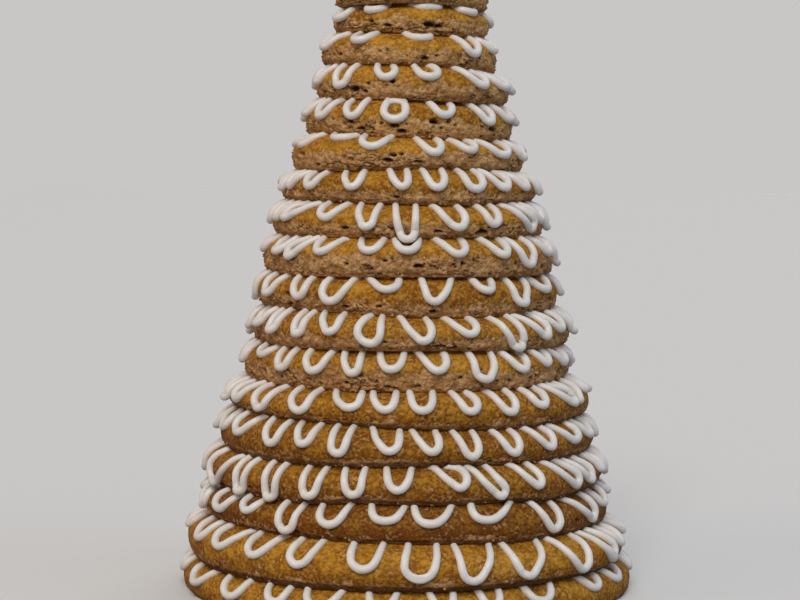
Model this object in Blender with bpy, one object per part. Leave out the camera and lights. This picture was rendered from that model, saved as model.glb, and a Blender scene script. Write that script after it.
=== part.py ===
"""Kransekake: a tower of baked almond rings, each a little smaller than the ring under it.

Every ring is a hand-rolled rope of dough with a flat bottom and a domed top, so it is uneven in
height and roundness. A zigzag of white icing is piped on each ring, and the next ring presses it flat.
Run it from Blender's text editor, or with: blender --background --python part.py
"""

import math
from typing import NamedTuple

import bpy


class Ring(NamedTuple):
    """One ring: its rise in the stack, what is uneven about it, and the loops piped on it."""

    rise: float
    nudge: float
    shift: float
    lean: float
    loops: int


# Units: Blender's metre, with the small sizes written in millimetres.
MM = 0.001

# The rings from the table up. Rise is the height from one ring's bottom to the next one's, nudge is
# how far the ring's edge stands out from the even taper, shift is how far the whole ring was laid to
# the right of the middle, and lean is how far its right side is low.
RINGS = (
    Ring(16.0 * MM, -0.1 * MM, 0.0 * MM, 0.1 * MM, 33),
    Ring(18.3 * MM, 3.0 * MM, 0.0 * MM, 1.2 * MM, 29),
    Ring(14.4 * MM, -0.7 * MM, 0.0 * MM, -0.1 * MM, 28),
    Ring(16.5 * MM, 0.8 * MM, -0.9 * MM, 0.8 * MM, 31),
    Ring(15.8 * MM, 0.7 * MM, 0.0 * MM, 1.3 * MM, 32),
    Ring(15.5 * MM, 0.1 * MM, 0.0 * MM, -0.2 * MM, 30),
    Ring(16.2 * MM, -2.6 * MM, 0.0 * MM, 0.7 * MM, 28),
    Ring(15.4 * MM, -0.3 * MM, 2.0 * MM, 0.5 * MM, 27),
    Ring(16.1 * MM, -1.2 * MM, -0.9 * MM, 0.5 * MM, 24),
    Ring(16.4 * MM, 1.2 * MM, 0.7 * MM, -0.3 * MM, 24),
    Ring(14.9 * MM, 0.5 * MM, 0.3 * MM, 0.3 * MM, 23),
    Ring(14.1 * MM, 0.7 * MM, 0.3 * MM, 0.2 * MM, 22),
    Ring(14.7 * MM, 0.1 * MM, -0.2 * MM, 0.8 * MM, 19),
    Ring(16.1 * MM, -2.6 * MM, -0.3 * MM, 1.5 * MM, 17),
    Ring(14.9 * MM, -0.8 * MM, 1.6 * MM, 1.6 * MM, 15),
    Ring(14.6 * MM, -1.4 * MM, 0.2 * MM, 0.9 * MM, 13),
    Ring(12.7 * MM, -2.3 * MM, 0.3 * MM, 0.9 * MM, 12),
    Ring(14.4 * MM, 2.2 * MM, 0.4 * MM, 0.6 * MM, 12),
    Ring(13.6 * MM, 1.6 * MM, 0.3 * MM, 0.4 * MM, 10),
    Ring(13.2 * MM, 1.2 * MM, 0.2 * MM, 0.2 * MM, 9),
)

BASE_RADIUS = 102.0 * MM  # outside of the lowest ring
TAPER = 4.0 * MM  # how much smaller each ring's radius is than the last
ROPE_WIDTH_BASE = 24.0 * MM  # width of the dough in the lowest ring
ROPE_WIDTH_TOP = 21.0 * MM  # width of the dough in the highest ring
FACET_LENGTH = 29.0 * MM  # the most of a ring's edge that one facet spans
FEWEST_FACETS = 3  # in a quarter of a ring

# The rope's outline. It is widest over a band low on its side, draws in to its foot, and slopes up
# from the band to a flat crown, which begins just inside the foot of the ring on top.
BAND_LOW = 0.26  # the band's lower edge, as a share of the ring's height
BAND_HIGH = 0.54  # the band's upper edge, where the shoulder begins
FOOT_INSET = 3.2 * MM
CROWN_INSET = 5.2 * MM  # from the outside of the ring on top in to the crown's outer edge
SHOULDER_LEAST = 8.6 * MM  # the least that the shoulder spans, where the ring on top is nearly as wide
CROWN_INNER = 0.68  # the crown's inner edge, as a share of the rope's width in from the outside
FOOT_INNER = 0.86  # the foot's inner edge, as the same share
WAIST_INNER = 0.45  # height of the rope's innermost line, as a share of the ring's height

# How uneven the hand-rolled rings are: the waves in each edge and in each face between two rings.
EDGE_SHIFT = 0.6 * MM
EDGE_OVAL = 0.8 * MM
EDGE_BUMP = 0.5 * MM
FACE_SAG = 0.6 * MM
FACE_RIPPLE = 0.3 * MM
GOLDEN_ANGLE = math.pi * (3.0 - math.sqrt(5.0))

# The icing thread, as thin as the ring on top presses it. Where it hangs free it swells.
ICING_WIDTH = 2.4 * MM
ICING_THICKNESS = 1.2 * MM
ICING_SWELL = 2.0
ICING_TURN_INSET = 0.2 * MM  # from the ring's outside in to the middle of the thread's outer turns
CLEARANCE = 0.3 * MM  # between the icing and the dough on each side of it

DOUGH_COLOUR = (0.36, 0.17, 0.035, 1.0)
ICING_COLOUR = (0.86, 0.83, 0.79, 1.0)


def clear_scene():
    for item in list(bpy.data.objects):
        bpy.data.objects.remove(item, do_unlink=True)


def make_collection(name):
    collection = bpy.data.collections.new(name)
    bpy.context.scene.collection.children.link(collection)
    return collection


def make_material(name, colour, roughness):
    material = bpy.data.materials.new(name)
    material.use_nodes = True
    shader = material.node_tree.nodes["Principled BSDF"]
    shader.inputs["Base Color"].default_value = colour
    shader.inputs["Roughness"].default_value = roughness
    shader.inputs["Metallic"].default_value = 0.0
    material.diffuse_color = colour
    return material


def size_share(index):
    """1 for the lowest ring, falling to 0 for the highest."""
    return 1.0 - index / (len(RINGS) - 1)


def rope_width(index):
    return ROPE_WIDTH_TOP + (ROPE_WIDTH_BASE - ROPE_WIDTH_TOP) * size_share(index)


def unevenness(index):
    """Large rings are less even than small ones."""
    return 0.5 + 0.5 * size_share(index)


def edge_radius(index, angle):
    """Radius of a ring's outside at an angle round the tower."""
    phase = index * GOLDEN_ANGLE
    waves = EDGE_OVAL * math.cos(2.0 * angle + phase) + EDGE_BUMP * math.cos(3.0 * angle - 2.0 * phase)
    if index > 0:
        waves += EDGE_SHIFT * math.cos(angle - phase)
    laid = RINGS[index].nudge + RINGS[index].shift * math.cos(angle)
    return BASE_RADIUS - TAPER * index + laid + waves * unevenness(index)


def crown_radius(index, angle):
    """Radius of the crown's outer edge, where the shoulder begins to fall."""
    outside = edge_radius(index, angle)
    above = edge_radius(index + 1, angle) if index + 1 < len(RINGS) else outside - TAPER
    return min(above - CROWN_INSET, outside - SHOULDER_LEAST)


def face_height(level, angle):
    """Height of the middle of the icing between two rings. Level 0 is on top of the lowest ring."""
    phase = (level + 0.5) * GOLDEN_ANGLE
    height = sum(below.rise for below in RINGS[: level + 1])
    waves = FACE_SAG * math.cos(2.0 * angle + phase) + FACE_RIPPLE * math.cos(3.0 * angle - phase)
    return height - RINGS[level].lean * math.cos(angle) + waves * unevenness(level)


def foot_height(index, angle):
    """A ring's underside: flat on the table, or resting on the icing of the ring below."""
    if index == 0:
        return 0.0
    return face_height(index - 1, angle) + ICING_THICKNESS / 2.0 + CLEARANCE


def crown_height(index, angle):
    return face_height(index, angle) - ICING_THICKNESS / 2.0 - CLEARANCE


def height_at(index, angle, share):
    foot = foot_height(index, angle)
    return foot + share * (crown_height(index, angle) - foot)


def rope_outline(index, angle):
    """The rope's cross-section as radius and height, from the low edge of the band over the crown."""
    outside = edge_radius(index, angle)
    width = rope_width(index)
    return (
        (outside, height_at(index, angle, BAND_LOW)),
        (outside, height_at(index, angle, BAND_HIGH)),
        (crown_radius(index, angle), crown_height(index, angle)),
        (outside - CROWN_INNER * width, crown_height(index, angle)),
        (outside - width, height_at(index, angle, WAIST_INNER)),
        (outside - FOOT_INNER * width, foot_height(index, angle)),
        (outside - FOOT_INSET, foot_height(index, angle)),
    )


def make_ring(index, collection, material):
    """A torus whose tube is reshaped into the rope's outline at every station round the ring."""
    outside = edge_radius(index, 0.0)
    quarter = max(FEWEST_FACETS, math.ceil(math.pi / 2.0 * outside / FACET_LENGTH))
    stations = 4 * quarter
    points = len(rope_outline(index, 0.0))
    bpy.ops.mesh.primitive_torus_add(
        major_segments=stations,
        minor_segments=points,
        major_radius=outside - rope_width(index) / 2.0,
        minor_radius=rope_width(index) / 2.0,
    )
    ring = bpy.context.object
    ring.name = f"ring_{index + 1:02d}"
    for vertex in ring.data.vertices:
        station, point = divmod(vertex.index, points)
        angle = 2.0 * math.pi * station / stations
        radius, height = rope_outline(index, angle)[point]
        vertex.co = (radius * math.cos(angle), radius * math.sin(angle), height)
    ring.data.shade_smooth()
    ring.data.set_sharp_from_angle(angle=math.radians(50.0))
    ring.data.materials.append(material)
    for owner in ring.users_collection:
        owner.objects.unlink(ring)
    collection.objects.link(ring)


def make_thread_section(collection):
    """The thread's cross-section at its thinnest: a flat foot with a ridge along it."""
    outline = bpy.data.curves.new("thread_section", "CURVE")
    outline.dimensions = "2D"
    spline = outline.splines.new("POLY")
    corners = (
        (ICING_WIDTH / 2.0, -ICING_THICKNESS / 2.0),
        (-ICING_WIDTH / 2.0, -ICING_THICKNESS / 2.0),
        (0.0, ICING_THICKNESS / 2.0),
    )
    spline.points.add(len(corners) - 1)
    for point, (across, up) in zip(spline.points, corners):
        point.co = (across, up, 0.0, 1.0)
    spline.use_cyclic_u = True
    section = bpy.data.objects.new("thread_section", outline)
    section.hide_render = True
    section.display_type = "WIRE"
    collection.objects.link(section)
    return section


def inner_turn(index, angle):
    """Where the thread turns back under the ring on top: radius, height, tilt and swell."""
    swell = 1.0 if index + 1 < len(RINGS) else ICING_SWELL
    radius = crown_radius(index, angle) + swell * ICING_WIDTH / 2.0
    height = crown_height(index, angle) + CLEARANCE + swell * ICING_THICKNESS / 2.0
    return radius, height, 0.0, swell


def outer_turn(index, angle):
    """Where the thread turns back low on the shoulder: radius, height, tilt and swell."""
    band = height_at(index, angle, BAND_HIGH)
    fall = crown_height(index, angle) - band
    slope = math.atan2(fall, edge_radius(index, angle) - crown_radius(index, angle))
    rise = (CLEARANCE + ICING_SWELL * ICING_THICKNESS / 2.0) / math.cos(slope)
    height = band + ICING_TURN_INSET * math.tan(slope) + rise
    return edge_radius(index, angle) - ICING_TURN_INSET, height, slope, ICING_SWELL


def make_icing(index, section, collection, material):
    """A closed zigzag thread over a ring's shoulder, with an inner and an outer turn for each loop."""
    turns = 2 * RINGS[index].loops
    thread = bpy.data.curves.new(f"icing_{index + 1:02d}", "CURVE")
    thread.dimensions = "3D"
    thread.twist_mode = "Z_UP"
    thread.bevel_mode = "OBJECT"
    thread.bevel_object = section
    spline = thread.splines.new("POLY")
    spline.points.add(turns - 1)
    for turn, point in enumerate(spline.points):
        angle = 2.0 * math.pi * turn / turns
        make_turn = outer_turn if turn % 2 else inner_turn
        radius, height, point.tilt, point.radius = make_turn(index, angle)
        point.co = (radius * math.cos(angle), radius * math.sin(angle), height, 1.0)
    spline.use_cyclic_u = True
    icing = bpy.data.objects.new(thread.name, thread)
    icing.data.materials.append(material)
    collection.objects.link(icing)


def main():
    clear_scene()
    tower = make_collection("kransekake")
    guides = make_collection("guides")
    dough = make_material("baked_almond_dough", DOUGH_COLOUR, 0.75)
    sugar = make_material("white_icing", ICING_COLOUR, 0.4)
    section = make_thread_section(guides)
    for index in range(len(RINGS)):
        make_ring(index, tower, dough)
        make_icing(index, section, tower, sugar)


main()
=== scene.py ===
# Kransekake: twenty baked almond rings stacked into a tower, with white icing piped in loops on each.
import math
import random
import bpy
import numpy as np
from mathutils import Matrix, Vector


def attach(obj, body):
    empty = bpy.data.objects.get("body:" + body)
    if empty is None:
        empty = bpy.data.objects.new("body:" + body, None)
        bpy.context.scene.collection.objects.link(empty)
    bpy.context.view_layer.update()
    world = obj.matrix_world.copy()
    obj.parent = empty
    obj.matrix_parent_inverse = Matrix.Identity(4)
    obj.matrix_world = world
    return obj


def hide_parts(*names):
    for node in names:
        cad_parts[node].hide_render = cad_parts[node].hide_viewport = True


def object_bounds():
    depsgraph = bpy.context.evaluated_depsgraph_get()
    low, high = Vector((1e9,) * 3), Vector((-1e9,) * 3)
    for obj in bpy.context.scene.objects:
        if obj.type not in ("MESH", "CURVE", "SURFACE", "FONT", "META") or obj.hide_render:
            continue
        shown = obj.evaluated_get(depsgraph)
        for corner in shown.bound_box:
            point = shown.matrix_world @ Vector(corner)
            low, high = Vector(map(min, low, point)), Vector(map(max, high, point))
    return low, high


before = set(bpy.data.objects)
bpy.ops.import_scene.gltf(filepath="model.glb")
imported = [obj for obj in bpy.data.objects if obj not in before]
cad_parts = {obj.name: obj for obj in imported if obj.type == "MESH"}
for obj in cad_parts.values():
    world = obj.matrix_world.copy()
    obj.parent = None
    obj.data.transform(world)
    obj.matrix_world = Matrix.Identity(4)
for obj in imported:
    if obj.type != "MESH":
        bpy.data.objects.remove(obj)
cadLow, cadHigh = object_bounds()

mm = 0.001
ringCount = sum(name.startswith("ring_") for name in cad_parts)


# Helpers for the node trees: geometry trees and shaders are built with the same few calls.
def feed(tree, socket, value):
    if isinstance(value, bpy.types.NodeSocket):
        tree.links.new(value, socket)
    elif value is not None:
        socket.default_value = value


def addNode(tree, kind, feeds=None, **settings):
    node = tree.nodes.new(kind)
    for name, value in settings.items():
        setattr(node, name, value)
    for key, value in (feeds or {}).items():
        feed(tree, node.inputs[key], value)
    return node


def shapeNode(tree, kind, feeds=None, **settings):
    return addNode(tree, "GeometryNode" + kind, feeds, **settings).outputs[0]


def calc(tree, operation, *values):
    return addNode(tree, "ShaderNodeMath", dict(enumerate(values)), operation=operation).outputs[0]


def vecCalc(tree, operation, *values):
    node = addNode(tree, "ShaderNodeVectorMath", dict(enumerate(values)), operation=operation)
    return node.outputs["Value" if operation == "LENGTH" else "Vector"]


def total(tree, first, *others):
    for other in others:
        first = calc(tree, "ADD", first, other)
    return first


def product(tree, first, *others):
    for other in others:
        first = calc(tree, "MULTIPLY", first, other)
    return first


def less(tree, value, amount):
    return calc(tree, "SUBTRACT", value, amount)


def timesPlus(tree, value, times, plus):
    return calc(tree, "MULTIPLY_ADD", value, times, plus)


def scaled(tree, vector, amount):
    return addNode(tree, "ShaderNodeVectorMath", {0: vector, "Scale": amount}, operation="SCALE").outputs[0]


def ease(tree, value, low, high, start=0.0, end=1.0):  # smooth step from start at low to end at high
    feeds = dict(enumerate((value, low, high, start, end)))
    return addNode(tree, "ShaderNodeMapRange", feeds, interpolation_type="SMOOTHSTEP").outputs[0]


def mixNumber(tree, factor, low, high):
    return addNode(tree, "ShaderNodeMix", {0: factor, 2: low, 3: high}, data_type="FLOAT").outputs[0]


def mixColour(tree, factor, low, high):
    return addNode(tree, "ShaderNodeMix", {0: factor, 6: low, 7: high}, data_type="RGBA").outputs[2]


def vector(tree, x, y, z):
    return addNode(tree, "ShaderNodeCombineXYZ", {"X": x, "Y": y, "Z": z}).outputs[0]


def split(tree, value):
    return addNode(tree, "ShaderNodeSeparateXYZ", {0: value}).outputs


def cloud(tree, place, size, seed=0.0, detail=2.0, roughness=0.5):  # noise about zero, in lumps of that size
    node = addNode(tree, "ShaderNodeTexNoise", {
        "Vector": place, "W": seed, "Scale": 1.0 / size, "Detail": detail, "Roughness": roughness,
    }, noise_dimensions="4D")
    return less(tree, node.outputs["Fac"], 0.5)


def cells(tree, place, size, feature="F1"):
    node = addNode(tree, "ShaderNodeTexVoronoi", {"Vector": place, "Scale": 1.0 / size}, feature=feature)
    return node.outputs["Distance"], node.outputs["Color"]


def addSockets(tree, side, sockets):
    for label, kind in sockets.items():
        tree.interface.new_socket(label, in_out=side, socket_type="NodeSocket" + kind)


def newTree(name, inputs):
    tree = bpy.data.node_groups.new(name, "GeometryNodeTree")
    addSockets(tree, "INPUT", {"Geometry": "Geometry", **inputs})
    addSockets(tree, "OUTPUT", {"Geometry": "Geometry"})
    return tree, tree.nodes.new("NodeGroupInput").outputs


def finishTree(tree, geometry, material):
    shaded = shapeNode(tree, "SetShadeSmooth", {"Geometry": geometry})
    real = shapeNode(tree, "RealizeInstances", {"Geometry": shaded})
    painted = shapeNode(tree, "SetMaterial", {"Geometry": real, "Material": material})
    tree.links.new(painted, tree.nodes.new("NodeGroupOutput").inputs[0])


def capture(tree, geometry, value):
    node = tree.nodes.new("GeometryNodeCaptureAttribute")
    node.capture_items.new("VECTOR", "Value")
    feed(tree, node.inputs["Geometry"], geometry)
    feed(tree, node.inputs["Value"], value)
    return node.outputs["Geometry"], node.outputs["Value"]


def named(tree, name):
    return shapeNode(tree, "InputNamedAttribute", {"Name": name}, data_type="FLOAT")


def store(tree, geometry, name, value):
    return shapeNode(tree, "StoreNamedAttribute", {"Geometry": geometry, "Name": name, "Value": value},
                     data_type="FLOAT", domain="POINT")


def objectShape(tree, item):
    return addNode(tree, "GeometryNodeObjectInfo", {"Object": item}).outputs["Geometry"]


def move(tree, geometry, **places):
    return shapeNode(tree, "SetPosition", {"Geometry": geometry, **places})


def addObject(name, data):
    item = bpy.data.objects.new(name, data)
    bpy.context.scene.collection.objects.link(item)
    return item


# A guide is a mesh of points and edges that a tree works from, with one number a point for each field.
def makeGuide(name, points, edges, fields=None):
    mesh = bpy.data.meshes.new(name)
    mesh.from_pydata([tuple(point) for point in points], edges, [])
    for label, values in (fields or {}).items():
        mesh.attributes.new(label, "FLOAT", "POINT").data.foreach_set("value", values)
    guide = addObject(name, mesh)
    guide.hide_render = True
    return guide


def bake(guide, tree, values, name):
    modifier = guide.modifiers.new(tree.name, "NODES")
    modifier.node_group = tree
    for item in tree.interface.items_tree:
        if item.in_out == "INPUT" and item.name in values:
            modifier[item.identifier] = values[item.name]
    graph = bpy.context.evaluated_depsgraph_get()
    mesh = bpy.data.meshes.new_from_object(
        guide.evaluated_get(graph), preserve_all_data_layers=True, depsgraph=graph)
    mesh.name = name
    bpy.data.objects.remove(guide)
    return addObject(name, mesh)


def closedEdges(count):
    return [(index, (index + 1) % count) for index in range(count)]


for startup in ("Cube", "Light", "Camera"):
    if startup in bpy.data.objects:
        bpy.data.objects.remove(bpy.data.objects[startup])


# Where a crown stands higher than its waves, and the foot of the ring on it too: middle in degrees from the
# front, half width and fading width in degrees, and height.
swells = {3: (8.0, 42.0, 24.0, 2.3 * mm)}


def eased(share):
    share = min(max(share, 0.0), 1.0)
    return share * share * (3.0 - 2.0 * share)


def raised(level, number):
    if number not in swells:
        return level
    middle, half, fade, height = swells[number]

    def risen(angle):
        bearing = (math.degrees(angle) + 270.0) % 360.0 - 180.0
        return level(angle) + height * eased((half - abs(bearing - middle)) / fade)

    return risen


# The waves of each ring are read from its solid: how its outside, foot and crown rise and fall.
class Ring:
    def __init__(self, number):
        self.number = number
        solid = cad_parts[f"ring_{number:02d}"].data
        points = {tuple(round(value, 6) for value in vertex.co) for vertex in solid.vertices}
        stations = {}
        for x, y, z in points:
            bearing = round(math.degrees(math.atan2(y, x)), 1) % 360.0
            stations.setdefault(bearing, []).append((math.hypot(x, y), z))
        angles = [math.radians(bearing) for bearing in stations]
        rows = list(stations.values())
        crowns = [max(z for r, z in row) for row in rows]
        self.outside = fitWaves(angles, [max(row)[0] for row in rows])
        self.width = float(np.mean([max(row)[0] - min(row)[0] for row in rows]))
        self.foot = raised(fitWaves(angles, [min(z for r, z in row) for row in rows]), number - 1)
        self.crown = raised(fitWaves(angles, crowns), number)
        self.crownEdge = fitWaves(angles, [max(r for r, z in row if z > crown - 0.1 * mm)
                                           for row, crown in zip(rows, crowns)])


def waveTerms(angle, order=3):
    terms = [1.0]
    for step in range(1, order + 1):
        terms += [math.cos(step * angle), math.sin(step * angle)]
    return terms


def fitWaves(angles, values):
    terms = np.array([waveTerms(angle) for angle in angles])
    sizes = np.linalg.lstsq(terms, np.array(values), rcond=None)[0]
    return lambda angle: float(np.dot(waveTerms(angle), sizes))


rings = [Ring(number + 1) for number in range(ringCount)]
print("rings read:", ringCount, "widest", round(rings[0].outside(0.0) * 1000, 1), "mm")


# Finishes: each is a material, and its pattern is asked for at the place on the piece.
def newMaterial(name):
    material = bpy.data.materials.new(name)
    material.use_nodes = True
    tree = material.node_tree
    return material, tree, tree.nodes.new("ShaderNodeTexCoord").outputs["Object"]


def setFinish(tree, feeds):
    for name, value in feeds.items():
        feed(tree, tree.nodes["Principled BSDF"].inputs[name], value)


def bumped(tree, height, distance, strength):
    feeds = {"Height": height, "Distance": distance, "Strength": strength}
    return addNode(tree, "ShaderNodeBump", feeds).outputs[0]


def newShaderGroup(name, inputs, outputs):
    group = bpy.data.node_groups.new(name, "ShaderNodeTree")
    addSockets(group, "INPUT", inputs)
    addSockets(group, "OUTPUT", outputs)
    return group, group.nodes.new("NodeGroupInput").outputs, group.nodes.new("NodeGroupOutput").inputs


def useGroup(tree, group, **values):
    node = tree.nodes.new("ShaderNodeGroup")
    node.node_tree = group
    for label, value in values.items():
        feed(tree, node.inputs[label], value)
    return node.outputs


def buildMottling():  # soft patches over finer ones, as a mask from 0 to 1
    group, source, result = newShaderGroup("mottling", {
        "Vector": "Vector", "Scale": "Float", "Seed": "Float", "Sharpness": "Float"}, {"Mask": "Float"})
    node = addNode(group, "ShaderNodeTexNoise", {
        "Vector": source["Vector"], "W": source["Seed"], "Scale": source["Scale"], "Detail": 4.0,
        "Roughness": 0.55}, noise_dimensions="4D")
    sharp = timesPlus(group, less(group, node.outputs["Fac"], 0.5), source["Sharpness"], 0.5)
    group.links.new(addNode(group, "ShaderNodeClamp", {0: sharp}).outputs[0], result["Mask"])
    return group


def buildGrains():  # ground almonds: each grain has its own tone and height, with pores between them
    group, source, result = newShaderGroup("almondGrains", {
        "Vector": "Vector", "Coarse": "Float", "Fine": "Float",
    }, {"Tone": "Float", "Height": "Float", "Pores": "Float"})
    wander = addNode(group, "ShaderNodeTexNoise", {
        "Vector": source["Vector"], "Scale": source["Coarse"], "Detail": 1.0})
    bent = vecCalc(group, "ADD", source["Vector"], scaled(group, wander.outputs["Color"], 0.6 * mm))
    coarse = addNode(group, "ShaderNodeTexVoronoi", {"Vector": bent, "Scale": source["Coarse"]})
    fine = addNode(group, "ShaderNodeTexNoise", {
        "Vector": source["Vector"], "Scale": source["Fine"], "Detail": 2.0, "Roughness": 0.6})
    height = timesPlus(group, coarse.outputs["Distance"], -0.8, fine.outputs["Fac"])
    group.links.new(split(group, coarse.outputs["Color"])[0], result["Tone"])
    group.links.new(height, result["Height"])
    group.links.new(ease(group, fine.outputs["Fac"], 0.42, 0.30), result["Pores"])
    return group


mottling = buildMottling()
almondGrains = buildGrains()

doughFinish = {
    "gold": (0.385, 0.163, 0.012, 1.0),
    "honey": (0.64, 0.32, 0.035, 1.0),
    "brown": (0.14, 0.042, 0.004, 1.0),
    "rust": (0.24, 0.06, 0.006, 1.0),
    "crumb": (0.75, 0.425, 0.178, 1.0),
    "crumbDark": (0.33, 0.15, 0.052, 1.0),
    "crumbPale": (0.80, 0.47, 0.17, 1.0),  # of the rings higher up
    "almond": (0.78, 0.53, 0.30, 1.0),
    # hollow is painted shade: the near-black laid into cracks, pits, torn holes, pores and the crease at each
    # ring's foot
    "hollow": (0.03, 0.01, 0.003, 1.0),
    "mottles": ((110.0, 1.0, 5.0), (250.0, 2.0, 7.0), (720.0, 3.0, 6.0)),  # each one's scale, seed, sharpness
    "grains": (620.0, 1600.0),  # scale of the coarse ones and the fine ones
    "shine": 0.12,
    "roughness": (0.58, 0.88),  # of the crust and the crumb
    "bump": 0.8 * mm,
}


def makeDoughMaterial():
    look = doughFinish
    material, tree, place = newMaterial("bakedAlmondDough")
    side, hollow, toast, low, crest = (
        addNode(tree, "ShaderNodeAttribute", attribute_name=name).outputs["Fac"]
        for name in ("band", "hollow", "toast", "low", "crest"))
    patches, blotches, flecks = (
        useGroup(tree, mottling, Vector=place, Scale=scale, Seed=seed, Sharpness=sharpness)["Mask"]
        for scale, seed, sharpness in look["mottles"])
    grain = useGroup(tree, almondGrains, Vector=place, Coarse=look["grains"][0], Fine=look["grains"][1])
    tone = grain["Tone"]

    # Each coat lays a colour over the last, from nothing where its mask is at low to its strength at high.
    def coats(colour, rows):
        for mask, low, high, strength, name in rows:
            colour = mixColour(tree, ease(tree, mask, low, high, 0.0, strength), colour, look[name])
        return colour

    baked = timesPlus(tree, toast, 0.9, 0.28)
    crust = mixColour(tree, patches, look["gold"], look["honey"])
    crust = mixColour(tree, product(tree, blotches, baked), crust, look["brown"])
    crust = coats(crust, (
        (flecks, 0.55, 1.0, 0.50, "honey"), (tone, 0.70, 1.0, 0.55, "honey"),
        (tone, 0.40, 0.0, baked, "rust"), (flecks, 0.45, 0.05, timesPlus(tree, toast, 0.6, 0.35), "brown")))
    crust = mixColour(tree, toast, crust, look["brown"])
    crumb = coats(mixColour(tree, patches, look["crumb"], look["crumbDark"]), (
        (split(tree, place)[2], 0.12, 0.24, 0.60, "crumbPale"),
        (blotches, 0.45, 1.0, 0.40, "gold"), (blotches, 0.55, 0.05, 0.60, "crumbDark"),
        (tone, 0.55, 0.95, 0.40, "almond"), (flecks, 0.60, 0.95, 0.30, "almond"),
        # The crest coats paint the crumb darker in the dips of its relief, painted shade, and paler on its
        # tops, painted light.
        (tone, 0.35, 0.0, 0.45, "crumbDark"), (crest, 0.40, 0.05, 0.50, "crumbDark"),
        (crest, 0.60, 1.0, 0.35, "almond")))
    edge = total(tree, side, product(tree, less(tree, blotches, 0.5), 0.6),
                 product(tree, less(tree, flecks, 0.5), 0.4))
    band = ease(tree, edge, 0.20, 0.80)
    # The pores between the grains are painted near black: painted shade in them.
    pores = product(tree, grain["Pores"], ease(tree, band, 0.0, 1.0, 0.25, 0.32))
    colour = mixColour(tree, pores, mixColour(tree, band, crust, crumb), look["hollow"])
    # Towards the foot the dough is painted brown: partly a browned bottom edge, partly painted shade under
    # the ring.
    colour = mixColour(tree, product(tree, low, 0.60), colour, look["brown"])
    # At the very foot it goes near black: painted shadow in the crease between the rings.
    colour = coats(colour, ((low, 0.45, 0.90, 0.60, "hollow"),))
    # Cracks, pits and torn holes are painted near black: painted shade in the recesses.
    colour = mixColour(tree, product(tree, hollow, 0.88), colour, look["hollow"])
    height = product(tree, grain["Height"], ease(tree, band, 0.0, 1.0, 0.55, 1.0))
    setFinish(tree, {
        "Base Color": colour, "Normal": bumped(tree, height, look["bump"], 1.0),
        "Roughness": mixNumber(tree, band, *look["roughness"]), "Specular IOR Level": look["shine"]})
    return material


icingFinish = {
    "sugar": (0.84, 0.82, 0.80, 1.0),
    "shade": (0.75, 0.71, 0.66, 1.0),
    "roughness": (0.34, 0.5),  # of the sugar and the shade
    "bump": 0.12 * mm,
    "soft": 1.2 * mm,  # how far light goes into it
}


def makeIcingMaterial():
    look = icingFinish
    material, tree, place = newMaterial("pipedIcing")
    clouds = useGroup(tree, mottling, Vector=place, Scale=160.0, Seed=5.0, Sharpness=2.5)["Mask"]
    grain = useGroup(tree, almondGrains, Vector=place, Coarse=900.0, Fine=2600.0)
    setFinish(tree, {
        "Base Color": mixColour(tree, clouds, look["sugar"], look["shade"]),
        "Roughness": ease(tree, clouds, 0.0, 1.0, *look["roughness"]),
        "Normal": bumped(tree, grain["Height"], look["bump"], 0.4),
        "Subsurface Weight": 0.25, "Subsurface Radius": (1.0, 0.8, 0.6), "Subsurface Scale": look["soft"]})
    return material


doughMaterial = makeDoughMaterial()
icingMaterial = makeIcingMaterial()
print("finishes made")


# The dough. Its outline is drawn as reach (0 at the outside, 1 at the crown's edge, 2 at the inside) and
# rise (0 at the foot, 1 at the crown). Past 1 it swells up against the ring that rests on it.
rope = {
    "outline": (
        (0.32, -0.10), (0.18, -0.045), (0.078, 0.055), (0.02, 0.19), (0.0, 0.34), (0.025, 0.48), (0.09, 0.60),
        (0.20, 0.71), (0.36, 0.805), (0.53, 0.875), (0.70, 0.93), (0.86, 0.975), (1.08, 1.05), (1.75, 0.95),
        (2.0, 0.50), (1.80, 0.05), (1.30, -0.08), (0.60, -0.10),
    ),
    "stepsPerPoint": 4,
    "spacing": 0.85 * mm,  # between stations, on average
    "frontShare": 0.25,  # how much closer the stations stand at the front, where the tower is looked at
    "inset": 0.7 * mm,
    "bulge": (30 * mm, 2.2 * mm),  # how wide they are, and how high or deep
    "lump": (8 * mm, 1.3 * mm),
    "grain": (2.2 * mm, 0.7 * mm),
    "nodule": (3.2 * mm, 1.9 * mm),
    "chip": (2.1 * mm, 0.35 * mm),
    "crack": (6.0 * mm, 0.9 * mm),
    "pit": (3.0 * mm, 1.6 * mm),
    "crustStep": 0.5 * mm,
    "toastBelow": 0.45,
    "rimGap": 0.1 * mm,  # the least to the rim of the solids' box
}

# Each ring from the table up: how high its crumbly side reaches, how crumbly that is, how dark the crust is.
ringLooks = (
    (0.06, 0.3, 0.12), (0.08, 0.3, 0.08), (0.08, 0.4, 0.62), (0.1, 0.4, 0.34), (0.1, 0.45, 0.34),
    (0.14, 0.5, 0.22), (0.46, 0.95, 0.1), (0.32, 0.75, 0.14), (0.3, 0.8, 0.22), (0.52, 1, 0.06),
    (0.36, 0.85, 0.06), (0.28, 0.6, 0.2), (0.5, 0.85, 0), (0.44, 1, 0.14), (0.46, 0.75, 0.03),
    (0.5, 0.8, 0), (0.46, 0.9, 0), (0.46, 0.8, 0.05), (0.44, 0.75, 0.08), (0.46, 0.75, 0.06),
)

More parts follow.
